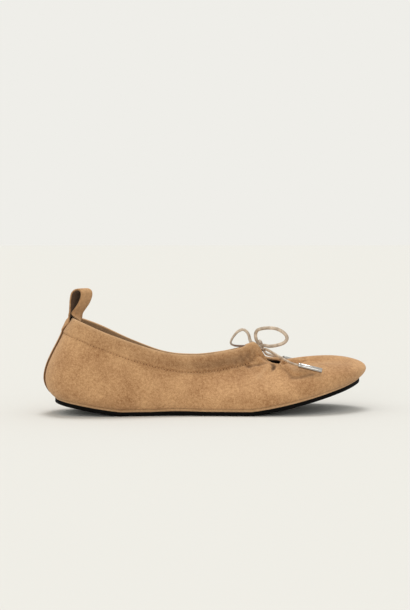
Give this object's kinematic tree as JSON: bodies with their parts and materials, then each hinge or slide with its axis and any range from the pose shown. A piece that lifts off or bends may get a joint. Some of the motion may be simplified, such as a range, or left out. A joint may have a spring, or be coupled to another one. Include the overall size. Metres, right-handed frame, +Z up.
{
  "type": "ballet flat",
  "caption": "Suede ballet flat with an elasticated collar, a drawstring bow with metal tips, a heel pull loop and a thin curved rubber sole.",
  "frame": {"origin": "middle of the flat spot under the heel, on the floor", "axes": "+X from heel to toe, +Y to the inner side of the foot, +Z up"},
  "size_m": [0.2481, 0.081, 0.0935],
  "materials": {
    "suede": "napped suede",
    "lining": "smooth lining leather",
    "cord": "smooth rolled leather",
    "metal": "polished",
    "rubber": "matte"
  },
  "bodies": {
    "root": {"outsole": "rubber", "insole": "lining", "upper": "suede", "pull_loop": "suede", "bow_knot": "cord", "bow_loop_outer": "cord", "bow_loop_inner": "cord", "bow_end_outer": "cord", "bow_end_inner": "cord", "cord_tip_outer": "metal", "cord_tip_inner": "metal"}
  },
  "joints": []
}
